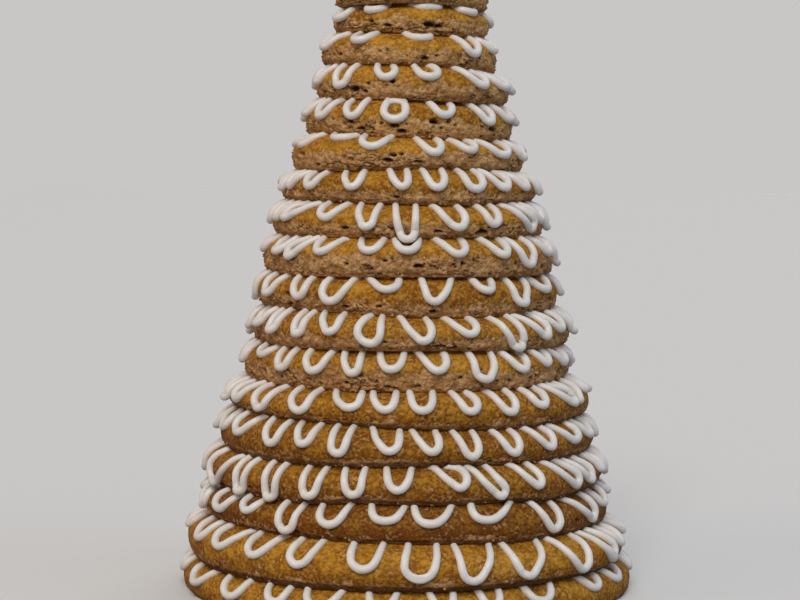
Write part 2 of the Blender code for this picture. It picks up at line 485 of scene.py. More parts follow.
# Holes torn in each ring's side: bearing from the front in degrees, height as a share of the ring's, size and
# depth in millimetres.
holes = {
    3: ((-30, 0.08, 2, 3),),
    5: ((-3, 0, 1.5, 2.4), (24, 0.02, 1.5, 2.2)),
    7: ((-6.5, 0.02, 1.6, 2.6), (-4.8, -0.01, 1.9, 3), (3.2, 0.03, 1.8, 3), (-21, 0.14, 1.4, 2),
        (18, 0.3, 1.3, 1.8)),
    8: ((5.5, -0.01, 1.7, 3), (7.4, 0.03, 2.1, 3.6), (9.6, 0, 2.3, 4), (11.8, 0.02, 2.1, 4),
        (14, -0.01, 2, 3.4), (16, 0, 1.6, 2.6), (-15.5, 0, 1.7, 2.6), (-8, 0.2, 1.1, 1.6)),
    9: ((-10.5, 0.18, 1.2, 2), (9, 0.06, 2.2, 3), (-24, 0.12, 1.4, 2)),
    10: ((4, 0.22, 2, 3), (21, 0.3, 1.6, 2.4), (-24, 0.28, 1.5, 2), (-9, 0.4, 1.2, 1.8),
         (33, 0.95, 3, 2.5)),
    11: ((-27, 0.18, 1.6, 2.2), (12, 0.12, 2, 2.5), (31, 0.05, 3.4, 4.5), (38, 0.3, 2.2, 3.5)),
    12: ((-5, 0.12, 1.6, 2.4),),
    13: ((-7, 0.42, 2, 3.2), (-10, 0.2, 2.6, 3), (4, 0.12, 2.2, 2.6), (-3.5, 0.46, 1.3, 2.4),
         (10, 0.46, 1, 1.6)),
    14: ((14, 0.42, 2.6, 4.5), (21.5, 0.44, 1.6, 3), (-8, 0.24, 2, 2.6), (-34, 0.33, 1.4, 2.6),
         (-15, 0.28, 1.4, 2.2), (-4, 0.06, 2.4, 3), (-27, 0.1, 1.6, 2.4)),
    15: ((-10, 0.5, 1.6, 2.6), (-36, 0.2, 3.4, 3), (-25, 0.42, 1.4, 2.4), (-28.5, 0.12, 2.2, 2.4)),
    16: ((9, 0.1, 1.8, 2.2), (18, 0.26, 1.3, 2)),
    17: ((15, 0.24, 3.2, 3.6), (-31, 0.34, 1.6, 2.4), (22, 0.2, 2.2, 3), (-17, 0.14, 1.8, 2.4)),
}
backHole = ((48.0, 312.0), (0.04, 0.45), (1.1, 2.6), (1.8, 3.2))  # the same round the back, from and to


def frontAngle(bearing):  # the front of the tower faces -Y, and bearings grow to the right of it
    return math.radians(bearing - 90.0)


def around(angle, radius, height):
    return Vector((radius * math.cos(angle), radius * math.sin(angle), height))


def sweptRope(tree, source, place):  # the outline carried round the ring, and what it said at each point
    level = vecCalc(tree, "MULTIPLY", place, (1.0, 1.0, 0.0))
    path = shapeNode(tree, "MeshToCurve", {"Mesh": source["Geometry"]})
    path, outward = capture(tree, path, vecCalc(tree, "NORMALIZE", level))
    outline = shapeNode(tree, "MeshToCurve", {"Mesh": objectShape(tree, source["Outline"])})
    outline = shapeNode(tree, "CurveSplineType", {"Curve": outline}, spline_type="CATMULL_ROM")
    outline = shapeNode(tree, "SetSplineResolution", {
        "Geometry": outline, "Resolution": rope["stepsPerPoint"]})
    outline = shapeNode(tree, "ResampleCurve", {"Curve": outline}, mode="EVALUATED")
    outline, drawn = capture(tree, outline, place)
    body = shapeNode(tree, "CurveToMesh", {"Curve": path, "Profile Curve": outline})
    reach, rise, _ = split(tree, drawn)
    shoulder = named(tree, "shoulder")
    near = product(tree, calc(tree, "MINIMUM", reach, 1.0), shoulder)
    far = product(tree, calc(tree, "MAXIMUM", less(tree, reach, 1.0), 0.0),
                  less(tree, source["Rope Width"], shoulder))
    radius = less(tree, named(tree, "outside"), total(tree, near, far))
    over = product(tree, calc(tree, "MAXIMUM", less(tree, rise, 1.0), 0.0), source["Swell"])
    height = timesPlus(tree, total(tree, calc(tree, "MINIMUM", rise, 1.0), over),
                       less(tree, named(tree, "crown"), named(tree, "foot")), named(tree, "foot"))
    swept = vecCalc(tree, "ADD", scaled(tree, outward, radius), vector(tree, 0.0, 0.0, height))
    return move(tree, body, Position=swept), reach, rise


# The relief is slow bulges and lumps all over, a fine grain, and a broken crumbly side below the crust.
def buildDoughTree():
    tree, source = newTree("doughRope", {
        "Outline": "Object", "Holes": "Object", "Rope Width": "Float", "Swell": "Float",
        "Seed": "Float", "Side Height": "Float", "Crumbly": "Float", "Toast": "Float", "Dough": "Material",
    })
    place = shapeNode(tree, "InputPosition")
    body, reach, rise = sweptRope(tree, source, place)
    seed = source["Seed"]

    def clouds(name, detail):
        size, depth = rope[name]
        return product(tree, cloud(tree, place, size, seed, detail), depth)

    under = product(tree, ease(tree, rise, 0.08, 0.0), ease(tree, reach, 0.22, 0.38))
    seen = product(tree, ease(tree, reach, 1.15, 0.8), less(tree, 1.0, under))
    wobble = total(tree, product(tree, cloud(tree, place, 16 * mm, seed), 0.55),
                   product(tree, cloud(tree, place, 5 * mm, seed, 3.0), 0.40))
    band = ease(tree, less(tree, rise, total(tree, source["Side Height"], wobble)), 0.13, -0.13)
    rough = product(tree, band, source["Crumbly"])
    grain = product(tree, clouds("grain", 2.0), timesPlus(tree, rough, 1.1, 1.0))
    wander = addNode(tree, "ShaderNodeTexNoise", {"Vector": place, "Scale": 300.0, "Detail": 1.0})
    squat = vecCalc(tree, "ADD", place, scaled(tree, wander.outputs["Color"], 1.6 * mm))
    squat = vecCalc(tree, "MULTIPLY", squat, (1.0, 1.0, 1.4))
    nodules, _ = cells(tree, squat, rope["nodule"][0], "SMOOTH_F1")
    nodules = product(tree, less(tree, 0.42, nodules), rope["nodule"][1], rough)
    _, chipTint = cells(tree, squat, rope["chip"][0])
    chips = product(tree, less(tree, split(tree, chipTint)[1], 0.5), rope["chip"][1], rough)
    patch = ease(tree, cloud(tree, place, 20 * mm, calc(tree, "ADD", seed, 7.0), 1.0), -0.02, 0.08)
    flat = vecCalc(tree, "MULTIPLY", place, (1.0, 1.0, 2.4))
    line = cloud(tree, flat, rope["crack"][0], calc(tree, "ADD", seed, 3.0), 2.0)
    cracks = product(tree, ease(tree, calc(tree, "ABSOLUTE", line), 0.026, 0.006), rough, patch)
    far, tint = cells(tree, squat, rope["pit"][0])
    chosen = calc(tree, "GREATER_THAN", split(tree, tint)[0], 0.88)
    pits = product(tree, ease(tree, far, 0.38, 0.18), chosen, rough)
    torn, tornDepth = holeDepth(tree, objectShape(tree, source["Holes"]), place, seed)
    sunk = total(tree, product(tree, cracks, rope["crack"][1]), product(tree, pits, rope["pit"][1]),
                 tornDepth, product(tree, band, rope["crustStep"]))
    small = total(tree, grain, nodules, chips)
    lift = less(tree, total(tree, clouds("bulge", 0.0), clouds("lump", 2.0), small), sunk)
    whole = less(tree, 1.0, source["Crumbly"])
    toast = total(tree, source["Toast"], product(tree, cloud(tree, place, 18 * mm, seed), 0.7),
                  product(tree, ease(tree, rise, 0.52, 0.12), whole, rope["toastBelow"]))
    for name, value in (
            # crest: the height of the small relief, which steers painted shade in its dips and painted light
            # on its tops.
            ("band", band), ("crest", timesPlus(tree, small, 0.5 / mm, 0.5)),
            # hollow marks the cracks, pits and torn holes, where painted shade is laid.
            ("hollow", calc(tree, "MINIMUM", total(tree, cracks, pits, torn), 1.0)),
            # low: nearness to the foot, which steers the browning and the painted shade there.
            ("low", product(tree, ease(tree, rise, 0.14, 0.0), less(tree, 1.2, source["Crumbly"]))),
            ("toast", calc(tree, "MINIMUM", calc(tree, "MAXIMUM", toast, 0.0), 0.9))):
        body = store(tree, body, name, value)
    normal = shapeNode(tree, "InputNormal")
    body = move(tree, body, Offset=scaled(tree, normal, product(tree, lift, seen)))
    finishTree(tree, heldInside(tree, body), source["Dough"])
    return tree


def heldInside(tree, body):  # nothing passes the rim or the floor of the solids' box
    x, y, z = split(tree, shapeNode(tree, "InputPosition"))
    radius = vecCalc(tree, "LENGTH", vector(tree, x, y, 0.0))
    held = calc(tree, "SMOOTH_MIN", radius, less(tree, named(tree, "rim"), rope["rimGap"]), 0.5 * mm)
    return move(tree, body, Position=spread(tree, x, y, calc(tree, "MAXIMUM", z, 0.0), held, radius))


def spread(tree, x, y, height, wanted, radius):  # a place moved in or out from the axis
    share = calc(tree, "DIVIDE", wanted, radius)
    return vector(tree, product(tree, x, share), product(tree, y, share), height)


def holeDepth(tree, marks, place, seed):
    nearest = shapeNode(tree, "SampleNearest", {"Geometry": marks, "Sample Position": place})

    def readMark(kind, value):
        feeds = {"Geometry": marks, "Index": nearest, "Value": value}
        return shapeNode(tree, "SampleIndex", feeds, data_type=kind)

    apart = vecCalc(tree, "SUBTRACT", place, readMark("FLOAT_VECTOR", place))
    apart = vecCalc(tree, "LENGTH", vecCalc(tree, "MULTIPLY", apart, (1.0, 1.0, 1.9)))
    ragged = timesPlus(tree, cloud(tree, place, 2.5 * mm, seed, 2.0), 3.5 * mm, apart)
    torn = ease(tree, calc(tree, "DIVIDE", ragged, readMark("FLOAT", named(tree, "size"))), 1.0, 0.68)
    return torn, product(tree, torn, readMark("FLOAT", named(tree, "depth")))


def rimAt(angle):  # how far out the box of the solids lets anything reach
    east, north = math.cos(angle), math.sin(angle)
    across = (cadHigh[0] if east > 0.0 else -cadLow[0]) / max(abs(east), 0.01)
    along = (cadHigh[1] if north > 0.0 else -cadLow[1]) / max(abs(north), 0.01)
    return min(across, along)


def ringPath(ring):
    count = round(2.0 * math.pi * ring.outside(0.0) / rope["spacing"])
    turns = [2.0 * math.pi * step / count for step in range(count)]
    angles = [frontAngle(0.0) + turn - rope["frontShare"] * math.sin(turn) for turn in turns]
    outside = [ring.outside(angle) - rope["inset"] for angle in angles]
    points = [around(angle, radius, 0.0) for angle, radius in zip(angles, outside)]
    fields = {"outside": outside}
    fields["shoulder"] = [radius - ring.crownEdge(angle) for angle, radius in zip(angles, outside)]
    for name, level in (("foot", ring.foot), ("crown", ring.crown), ("rim", rimAt)):
        fields[name] = [level(angle) for angle in angles]
    return makeGuide("ringPath", points, closedEdges(count), fields)


def holeMarks(ring):
    chance = random.Random(80 + ring.number)
    crumbly = ringLooks[ring.number - 1][1]
    torn = list(holes.get(ring.number, ()))
    for _ in range(round(2 + 12 * crumbly)):
        torn.append([chance.uniform(least, most) for least, most in backHole])
    points = []
    for bearing, share, _, _ in torn:
        angle = frontAngle(bearing)
        height = mixed(ring.foot(angle), ring.crown(angle), share)
        points.append(around(angle, ring.outside(angle) - rope["inset"], height))
    return makeGuide("holeMarks", points, [], {
        "size": [mark[2] * mm for mark in torn], "depth": [mark[3] * mm for mark in torn]})


def mixed(low, high, share):
    return low + (high - low) * share


doughTree = buildDoughTree()
outlineGuide = makeGuide("ropeOutline", [(reach, rise, 0.0) for reach, rise in reversed(rope["outline"])],
                         closedEdges(len(rope["outline"])))


def makeDough(ring):
    sideHeight, crumbly, toast = ringLooks[ring.number - 1]
    marks = holeMarks(ring)
    piece = bake(ringPath(ring), doughTree, {
        "Outline": outlineGuide, "Holes": marks, "Rope Width": ring.width - rope["inset"],
        "Swell": 1.0 if ring.number < ringCount else 0.1, "Seed": float(ring.number),
        "Side Height": sideHeight, "Crumbly": crumbly, "Toast": toast, "Dough": doughMaterial,
    }, f"dough_{ring.number:02d}")
    bpy.data.objects.remove(marks)
    return piece


doughs = [makeDough(ring) for ring in rings]
print("dough rings made:", sum(len(piece.data.loop_triangles) for piece in doughs))


# The icing. Loops that were piped at the front, for each ring from the table up: where the left leg comes out
# from under the ring above, where the loop is lowest, where the right leg goes back in (degrees to the
# right of the front), and how far down it hangs in millimetres. Some have more: half the width of the bend
# in degrees, for loops that belly out, and how swollen the left leg is, where the thread ran into itself.
frontLoops = {
    1: ((-70, -66, -58, 9), (-52, -47.5, -43, 9), (-37, -33, -30, 8), (-25.5, -21, -15.5, 8),
        (-9.5, -6, -2, 8), (5.5, 9, 12, 8), (18, 21, 24, 8), (31, 35, 40, 8), (49, 54, 57, 7),
        (62, 67, 70, 7)),
    2: ((-70, -66, -61, 9), (-56.5, -54, -47, 9.4, 3), (-43.5, -40.5, -34.5, 9.6, 3),
        (-29, -27, -22.5, 10.9, 2.8), (-14, -10.5, -6, 10.5, 3.4), (0.5, 3, 8, 14, 3.6),
        (12.5, 16, 22.5, 15, 2.8), (26, 30.5, 37.5, 14, 2.8), (41, 48.2, 51.5, 14.6, 2.2),
        (55, 63, 60, 12.5, 1.7, 1.5), (66, 72, 74, 9)),
    3: ((-64, -60, -54, 8.7), (-51.5, -47.5, -44, 6.6), (-35.6, -32.8, -29.6, 12.2),
        (-24.2, -20.1, -15.5, 9.1), (-10, -5.6, -0.4, 7.2), (2, 6.2, 12.8, 7.8), (18.2, 21.4, 30.6, 7.2),
        (36.6, 42.3, 45, 12.6, 2.2), (51.5, 61.5, 61, 12.4, 1.9)),
    4: ((-72, -70.5, -58, 16), (-55, -53.5, -49.5, 16), (-42.5, -40.5, -37.5, 16.3),
        (-29.5, -27.2, -23.5, 13.5), (-18, -14.5, -12, 12.4), (-6, -2.5, 1.5, 9.6), (7.3, 14.2, 12, 9, 2),
        (17.5, 25.6, 23, 13.2), (31, 37.7, 37.3, 9.9), (44, 54.5, 50.5, 12), (55, 63, 62, 11)),
    5: ((-62, -58.5, -51.5, 9), (-46.8, -42, -39, 10.8), (-34.6, -30.2, -27.6, 9),
        (-21.8, -19.2, -16.6, 11.6), (-10.8, -5, -2.4, 9.4), (1.3, 6.6, 8.6, 9.1), (14, 18.3, 20.4, 11.2),
        (27, 31.5, 33.6, 10.6), (39, 45.3, 46.8, 9.4), (50.5, 59.5, 61.5, 8.6)),
    6: ((-70, -66, -60, 9), (-55, -50.8, -46, 10.6), (-39.6, -34, -31.2, 10), (-25.6, -17.8, -15.6, 7.6),
        (-12, -6.8, -3.6, 8.2), (0.6, 4.4, 8.5, 8.3, 3.2), (14.6, 19.2, 20, 9, 2.6),
        (27.2, 32.4, 34.6, 10.2), (41, 44.8, 48, 8.6, 2.9), (51.5, 62, 56, 10)),
    7: ((-66, -61.5, -56, 6), (-51, -47, -43.4, 10.2), (-37, -32.8, -27.6, 10.3),
        (-23.4, -18.5, -16.3, 10.7), (-10.4, -5.5, -1, 8.6), (3, 9.8, 12.4, 9.2),
        (21.6, 25.7, 30.5, 12.9, 3.2), (34, 40.3, 42.3, 9), (49, 53.8, 56.6, 7.2), (60, 68, 70, 8)),
    8: ((-70, -67, -62, 9), (-57, -54.8, -50.6, 11), (-42.8, -40.4, -38, 11), (-33.2, -27, -24.4, 8.9),
        (-13.8, -12.2, -9.8, 12.6, (4.6, 3.2)), (-3.4, 5, 6.5, 10.6), (13.3, 20.4, 23, 7.9),
        (31.5, 39.8, 40.5, 14.8, 2.5), (44, 53.3, 53, 10.8), (57, 65, 68, 9)),
    9: ((-68, -64, -57, 10), (-49, -44, -40.5, 10.2), (-32, -29.3, -20.8, 11.8, (3.8, 4.4)),
        (-16.5, -7.8, -3.8, 6.5), (4.8, 9.5, 18, 11.6, 3), (25.6, 30, 35, 7.2), (42, 46.5, 52.6, 13, 2.9),
        (56, 62, 70, 7.4)),
    10: ((-64, -60, -55, 8), (-46, -51.5, -41, 10), (-38.5, -35, -28, 7.4), (-20, -15, -10.2, 6.7),
         (-6, -0.5, 4.5, 6.3, 4), (11, 18.7, 22, 7.8), (30.5, 37.6, 40.6, 8.4), (43.7, 51, 54.4, 12.9),
         (60, 67, 71, 8)),
    11: ((-70, -68, -61, 9), (-54, -59, -45, 8.5), (-39.5, -35.6, -28, 7.8),
         (-22.4, -16.8, -12.8, 11.2, 2.6), (-6.2, -0.6, 3.1, 16, 2.9), (10.5, 19.5, 21.8, 10.8),
         (31, 36, 39, 9.5), (45.5, 59, 53, 12.6), (59, 68, 70, 9)),
    12: ((-64, -66, -56, 8), (-53.5, -49, -43, 8), (-33, -25.3, -22, 8.4), (-9.8, -3, -1.2, 8.7),
         (6.3, 12, 16, 9), (24, 29.2, 33.4, 9.6, 4.4), (36, 44.5, 47.6, 8.8), (53, 60, 64, 8)),
    13: ((-70, -66, -56, 6), (-47, -39, -30, 3.6), (-25.5, -18, -9.4, 6), (3, 11.7, 15.4, 7.5),
         (22.8, 30, 34, 6.3, 4.3), (39.5, 52, 59, 8.1), (66, 74, 80, 9)),
    14: ((-78, -74, -68, 8), (-61, -55, -47, 9), (-38.5, -32, -26, 9.1), (-12.6, -8, -3.4, 10, 5.9),
         (11.3, 19.5, 25.7, 7.4, 5.4), (38, 47.2, 49.4, 9.7), (57, 67, 74, 8)),
    15: ((-76, -70, -62, 9), (-51.3, -44.8, -38, 11.1), (-23, -13.8, -12, 7.2, 4.8),
         (2.3, 10.8, 12.7, 6.4, 5.8), (31, 43.3, 46.5, 8.5), (54, 65, 74, 8)),
    16: ((-78, -70, -60, 8), (-45, -35, -27, 5.6), (-4, 7.8, 16, 4), (35, 44.6, 52.5, 9.2), (62, 72, 80, 7)),
    17: ((-76, -65, -54, 7), (-41, -30.5, -20, 4.4), (1, 15.5, 28, 3), (42, 52, 64, 4.1)),
}

thread = {
    "radius": 1.75 * mm,
    "sides": 12,
    "spacing": 1.0 * mm,
    "stand": 0.5,  # how far its middle stands off the dough, as a share of its radius
    "bend": 0.38,  # half the width of a loop's bend, as a share of the gap between its legs
    "bendStep": math.radians(38.0),
    "tightest": 1.3,  # the least that half width may be, in radii
    "legFats": (0.72, 0.82, 0.94),  # how thick it is under the ring above, at the crown's edge, and lower
    "bendFat": 1.03,
    "turnFat": 0.65,
    "tuck": 2.4 * mm,  # how far a leg goes on under the ring above
    "turnDepth": 5.5 * mm,  # how far in under the ring above it turns back
    "narrowestTurn": 1.5 * mm,
    "sink": 2.2 * mm,  # and how far into the dough it is pressed there
    "wander": (110.0, 0.8 * mm),  # scale and reach
    "ray": (12.0 * mm, 26.0 * mm),  # how far off the dough is looked for from, and how far
    "stickOut": (0.8 * mm, 2.5 * mm),  # how far the low ends stand off the dough
    "topLoops": ((-9, 1, 7, 6), (-8, -2, 6, 7.5), (-7, 2, 8, 5.5), (-8, 1, 9, 8)),  # of the smallest rings
}
tiltAtCrown = math.radians(60.0)
liesBelow = 4.0 * mm  # from this far down on, the thread lies on the side of the dough


def reachAt(rise):  # how far in from the outside the outline is at that height, down to its widest line
    shown = [(height, reach) for reach, height in rope["outline"][4:13]]
    if rise < shown[0][0]:
        return 0.0
    return float(np.interp(rise, [height for height, _ in shown], [reach for _, reach in shown]))


def besideCrown(ring, angle, drop):  # radius of the dough's shoulder at that distance below the crown
    outside = ring.outside(angle) - rope["inset"]
    rise = 1.0 - max(drop, 0.0) / (ring.crown(angle) - ring.foot(angle))
    return outside - reachAt(rise) * (outside - ring.crownEdge(angle))


def threadPoint(ring, along, drop, fat=1.0, lowEnd=0.0, stickOut=0.0):
    angle = frontAngle(math.degrees(along / ring.outside(frontAngle(0.0))))
    top = ring.number == ringCount
    sink = 0.0 if top else min(max(-drop, 0.0) / thread["tuck"], 1.0) * thread["sink"]
    radius = besideCrown(ring, angle, drop) + min(drop, 0.0)
    plumb = radius - 0.5 * mm
    if lowEnd:  # a straight line from the crown's edge out to the low end
        lowest = besideCrown(ring, angle, lowEnd) + stickOut
        highest = besideCrown(ring, angle, 0.0) - 0.3 * mm
        plumb = lowest - (lowest - highest) * max(lowEnd - drop, 0.0) / lowEnd
    return {
        "point": around(angle, radius, ring.crown(angle) - max(drop, 0.0) - sink),
        "tilt": tiltAtCrown * (1.0 - eased(drop / liesBelow)),
        "hidden": 1.0 if drop < -1.0 * mm and not top else 0.0,
        "plumb": plumb,
        "fat": fat,
        "rim": rimAt(angle),
    }


# One loop, as places along the ring and down it in metres, with its two ends just under the ring above.
def loopPoints(ring, left, low, right, hang, half, swollen, stickOut):
    deepest = hang - 1.1 * thread["radius"]
    balance = min(max(min(low - left, right - low) / (right - left) * 2.0, 0.0), 1.0)
    wide = thread["bend"] * (right - left) * (0.65 + 0.35 * balance)
    wide = max(wide, thread["tightest"] * thread["radius"])
    wideLeft, wideRight = half or (wide, wide)
    snug = min((low - left) / wideLeft, (right - low) / wideRight)
    tall = min(0.55 * (wideLeft + wideRight), deepest * (0.62 if snug > 0.78 else 0.48))
    legs, ends, turns = [], [], []
    for top, across in ((left, -wideLeft), (right, wideRight)):  # where the straight leg touches the bend
        aside, above = (top - low) / across, (deepest - tall) / tall
        turn = math.atan2(above, aside) - math.acos(min(1.0 / math.hypot(aside, above), 1.0))
        turn += math.radians(90.0)
        touch, leg = low + across * math.sin(turn), deepest - tall + tall * math.cos(turn)
        lean = min(max((touch - top) / max(leg, 3.0 * mm), -1.2), 1.2)
        ends.append(top - 2.0 * mm * lean)
        spots = ((ends[-1], -thread["tuck"]), (top, 0.0), (mixed(top, touch, 0.5), 0.5 * leg))
        legs.append([(*spot, fat) for spot, fat in zip(spots, thread["legFats"])])
        turns.append(math.copysign(turn, across))
    count = max(math.ceil((turns[1] - turns[0]) / thread["bendStep"]), 3)
    bend = []
    for step in range(count + 1):
        turn = mixed(*turns, step / count)
        along = low + (wideLeft if turn < 0.0 else wideRight) * math.sin(turn)
        drop = deepest - tall + tall * math.cos(turn)
        bend.append((along, drop, swollen if step < 2 else thread["bendFat"]))
    places = legs[0] + bend + legs[1][::-1]
    return [threadPoint(ring, *place, deepest, stickOut) for place in places], ends


def turnPoints(ring, end, nextEnd):
    middle = (end + nextEnd) / 2.0
    half = max((nextEnd - end) / 2.0, thread["narrowestTurn"])
    deep = thread["turnDepth"]
    places = [(middle - 0.75 * half, 0.8 * deep), (middle, deep), (middle + 0.75 * half, 0.8 * deep)]
    return [threadPoint(ring, along, -depth, thread["turnFat"]) for along, depth in places]


def backLoops(front, chance):  # carries the front's manner of piping on round the back
    styles = [(low - left, right - left, hang) for left, low, right, hang, *_ in front]
    pitch = (front[-1][0] - front[0][0]) / (len(front) - 1)
    start, end = front[-1][2] + 0.35 * pitch, front[0][0] + 360.0 - 0.35 * pitch
    count = max(round((end - start) / pitch), 1)
    step = (end - start) / count
    loops = []
    for index in range(count):
        low, width, hang = chance.choice(styles)
        width = min(width, 0.8 * step) * chance.uniform(0.9, 1.08)
        left = start + step * index + (0.8 * step - width) * chance.uniform(0.0, 1.0)
        low = min(max(low, 0.3 * width), 0.85 * width) * chance.uniform(0.9, 1.1)
        loops.append((left, left + low, left + width, min(hang, 13.0) * chance.uniform(0.85, 1.12)))
    return loops


def ringLoops(ring):
    chance = random.Random(40 + ring.number)
    front = frontLoops.get(ring.number)
    if front:
        return list(front) + backLoops(front, chance)
    count = 30 - ring.number  # the small rings at the top
    loops = []
    for index in range(count):
        left, low, right, hang = chance.choice(thread["topLoops"])
        wide = 360.0 / count / 24.0
        middle = 360.0 * (index + 0.5) / count + chance.uniform(-2.0, 2.0)
        ends = [middle + bearing * wide for bearing in (left, low, right)]
        loops.append((*ends, hang * chance.uniform(0.9, 1.1)))
    return loops


def buildThreadTree():
    tree, source = newTree("icingThread", {
        "Dough": "Object", "Dough Below": "Object", "Seed": "Float", "Icing": "Material"})
    seed = source["Seed"]
    line = shapeNode(tree, "MeshToCurve", {"Mesh": source["Geometry"]})
    line = shapeNode(tree, "CurveSplineType", {"Curve": line}, spline_type="CATMULL_ROM")
    line = shapeNode(tree, "ResampleCurve", {"Curve": line, "Length": thread["spacing"]}, mode="LENGTH")
    place = shapeNode(tree, "InputPosition")
    x, y, z = split(tree, place)
    outward = vecCalc(tree, "NORMALIZE", vector(tree, x, y, 0.0))
    tilt = named(tree, "tilt")
    upward = vector(tree, 0.0, 0.0, calc(tree, "SINE", tilt))
    away = vecCalc(tree, "ADD", scaled(tree, outward, calc(tree, "COSINE", tilt)), upward)
    under = addNode(tree, "GeometryNodeJoinGeometry")
    for label in ("Dough Below", "Dough"):
        tree.links.new(objectShape(tree, source[label]), under.inputs[0])
    # It is laid on the dough, smoothed along its length, and kept out at its plumb line.
    rayFrom, rayLength = thread["ray"]
    ray = addNode(tree, "GeometryNodeRaycast", {
        "Target Geometry": under.outputs[0], "Ray Length": rayLength,
        "Ray Direction": scaled(tree, away, -1.0),
        "Source Position": vecCalc(tree, "ADD", place, scaled(tree, away, rayFrom))})
    stand = ease(tree, tilt, tiltAtCrown, 0.5 * tiltAtCrown, -0.2, 1.0)
    stand = product(tree, stand, thread["radius"] * thread["stand"])
    landed = vecCalc(tree, "ADD", ray.outputs["Hit Position"], scaled(tree, away, stand))
    laid = product(tree, ray.outputs["Is Hit"], ease(tree, named(tree, "hidden"), 1.0, 0.0))
    shift = scaled(tree, vecCalc(tree, "SUBTRACT", landed, place), laid)
    soft = addNode(tree, "GeometryNodeBlurAttribute", {"Iterations": 5}, data_type="FLOAT_VECTOR")
    feed(tree, next(item for item in soft.inputs if (item.name, item.type) == ("Value", "VECTOR")), shift)
    shift = next(item for item in soft.outputs if item.type == "VECTOR")
    scale, reach = thread["wander"]
    noise = addNode(tree, "ShaderNodeTexNoise", {
        "Vector": place, "W": seed, "Scale": scale, "Detail": 1.0}, noise_dimensions="4D")
    wander = scaled(tree, vecCalc(tree, "SUBTRACT", noise.outputs["Color"], (0.5, 0.5, 0.5)), reach)
    line = move(tree, line, Offset=vecCalc(tree, "ADD", shift, wander))
    radius = vecCalc(tree, "LENGTH", vector(tree, x, y, 0.0))
    wanted = calc(tree, "MAXIMUM", radius, named(tree, "plumb"))
    line = move(tree, line, Position=spread(tree, x, y, z, wanted, radius))
    ragged = timesPlus(tree, cloud(tree, place, 5.0 * mm, seed, 1.0), 0.22, 1.0)
    size = product(tree, named(tree, "fat"), ragged, thread["radius"])
    section = shapeNode(tree, "CurvePrimitiveCircle", {"Resolution": thread["sides"], "Radius": 1.0})
    body = shapeNode(tree, "CurveToMesh", {
        "Curve": line, "Profile Curve": section, "Scale": size, "Fill Caps": True})
    finishTree(tree, heldInside(tree, body), source["Icing"])
    return tree


threadTree = buildThreadTree()


# One loop was closed across its top, with a bar through these bearings and drops in millimetres.
closedLoop = {
    "ring": 14,
    "bar": ((-12.8, 1.9), (-10.8, 1.1), (-8.0, 0.9), (-5.2, 1.1), (-3.2, 1.9)),
    "fat": 0.85,
}


def makeIcing(ring, below):
    scale = ring.outside(frontAngle(0.0))
    chance = random.Random(60 + ring.number)
    least, most = thread["stickOut"]
    most = mixed(least, most, min(ring.number / 5.0, 1.0))
    loops = []
    for left, low, right, hang, *more in ringLoops(ring):
        half, swollen = (tuple(more) + (None, None))[:2]
        if half:
            halves = half if isinstance(half, tuple) else (half, half)
            half = [math.radians(value) * scale for value in halves]
        ends = [math.radians(value) * scale for value in (left, low, right)]
        loops.append(loopPoints(ring, *ends, hang * mm, half, swollen or 1.0, chance.uniform(least, most)))
    points = []
    for index, (loop, ends) in enumerate(loops):
        following = loops[(index + 1) % len(loops)][1][0]
        if index + 1 == len(loops):
            following += 2.0 * math.pi * scale
        points += loop + turnPoints(ring, ends[1], following)
    edges = closedEdges(len(points))
    if ring.number == closedLoop["ring"]:
        bar = [threadPoint(ring, math.radians(bearing) * scale, drop * mm, closedLoop["fat"])
               for bearing, drop in closedLoop["bar"]]
        edges += [(len(points) + index, len(points) + index + 1) for index in range(len(bar) - 1)]
        points += bar
    fields = {name: [point[name] for point in points] for name in points[0] if name != "point"}
    guide = makeGuide("icingLine", [point["point"] for point in points], edges, fields)
    return bake(guide, threadTree, {
        "Dough": doughs[ring.number - 1], "Dough Below": below,
        "Seed": float(ring.number), "Icing": icingMaterial}, f"icing_thread_{ring.number:02d}")


icings = [makeIcing(ring, below) for ring, below in zip(rings, [None] + doughs)]
print("icing piped:", sum(len(piece.data.loop_triangles) for piece in icings))


# Crumbs that cling to the torn sides, and one bright crumb that fell on a ring.
crumbs = {
    "seed": 7,
    "perRing": 130,
    "size": (0.30 * mm, 0.85 * mm),
    "stretch": ((0.7, 0.6, 0.5), (1.3, 1.1, 0.9)),
}
brightCrumbLook = {
    "ring": 9,
    "bearing": -8.3,
    "drop": 0.2 * mm,
    "size": 1.35 * mm,
    "orange": (0.72, 0.27, 0.035, 1.0),
    "darkOrange": (0.40, 0.12, 0.015, 1.0),
}


def buildCrumbTree():
    tree, source = newTree("crumbScatter", {"Seed": "Int", "Dough": "Material"})
    grain = shapeNode(tree, "MeshIcoSphere", {"Radius": 1.0, "Subdivisions": 1})
    turn, shape = (
        addNode(tree, "FunctionNodeRandomValue", {"Seed": source["Seed"], 0: least, 1: most},
                data_type="FLOAT_VECTOR").outputs[0]
        for least, most in ((None, (6.28, 6.28, 6.28)), crumbs["stretch"]))
    scattered = shapeNode(tree, "InstanceOnPoints", {
        "Points": source["Geometry"], "Instance": grain, "Rotation": turn,
        "Scale": scaled(tree, shape, named(tree, "size"))})
    scattered = shapeNode(tree, "RealizeInstances", {"Geometry": scattered})
    for name, value in (("band", 1.0), ("crest", 0.65), ("hollow", 0.0), ("toast", 0.0), ("low", 0.0)):
        scattered = store(tree, scattered, name, value)
    finishTree(tree, scattered, source["Dough"])
    return tree


